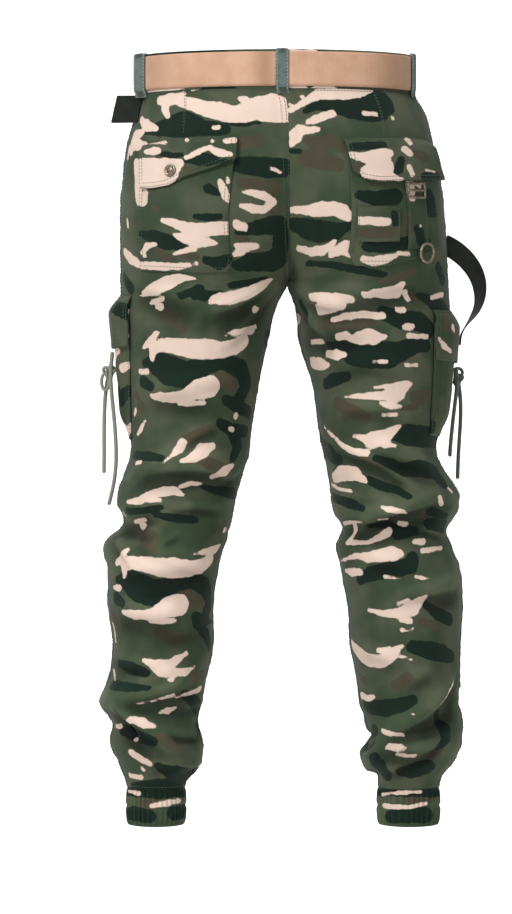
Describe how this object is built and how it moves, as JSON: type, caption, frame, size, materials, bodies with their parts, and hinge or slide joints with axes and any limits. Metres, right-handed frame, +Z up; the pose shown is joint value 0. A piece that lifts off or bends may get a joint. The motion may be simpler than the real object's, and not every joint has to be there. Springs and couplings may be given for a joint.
{
  "type": "camouflage cargo trousers with a belt",
  "caption": "Worn-shape camouflage cargo joggers with a webbing belt, flapped back and cargo pockets, hanging laces and elastic ankle cuffs; hollow from waist to hems.",
  "frame": {"origin": "centre of the waist opening, a little above the middle of the belt, where the wearer's waist holds the garment", "axes": "+Z up out of the waist opening; the front of the garment faces -Y, the seat faces +Y and the wearer's left is +X"},
  "size_m": [0.4648, 0.252, 0.92],
  "materials": {
    "camo_twill": "brushed cotton twill printed with a four-colour camouflage",
    "belt_webbing": "close-woven tan webbing with fine ribs",
    "loop_twill": "grey-green cotton tape",
    "dark_webbing": "dark green-black webbing",
    "cord": "round woven cotton cord",
    "steel": "plain brushed plate",
    "gunmetal": "dark plated, slightly worn"
  },
  "bodies": {
    "root": {"back_left": "camo_twill", "back_right": "camo_twill", "front_left": "camo_twill", "front_right": "camo_twill", "waistband": "camo_twill", "back_pocket_left": "camo_twill", "back_pocket_right": "camo_twill", "back_flap_left": "camo_twill", "back_flap_right": "camo_twill", "pen_slot_right": "camo_twill", "cargo_pocket_left": "camo_twill", "cargo_pocket_right": "camo_twill", "cargo_flap_left": "camo_twill", "cargo_flap_right": "camo_twill", "cuff_left": "camo_twill", "cuff_right": "camo_twill", "belt": "belt_webbing", "belt_loop_back": "loop_twill", "belt_loop_left": "loop_twill", "belt_loop_right": "loop_twill", "buckle_strap_right": "loop_twill", "webbing_loop_right": "dark_webbing", "hip_tab_left": "dark_webbing", "lace_left_1": "cord", "lace_left_2": "cord", "lace_right_1": "cord", "lace_right_2": "cord", "belt_buckle": "steel", "snap_left": "gunmetal", "strap_ring_right": "gunmetal"}
  },
  "joints": []
}
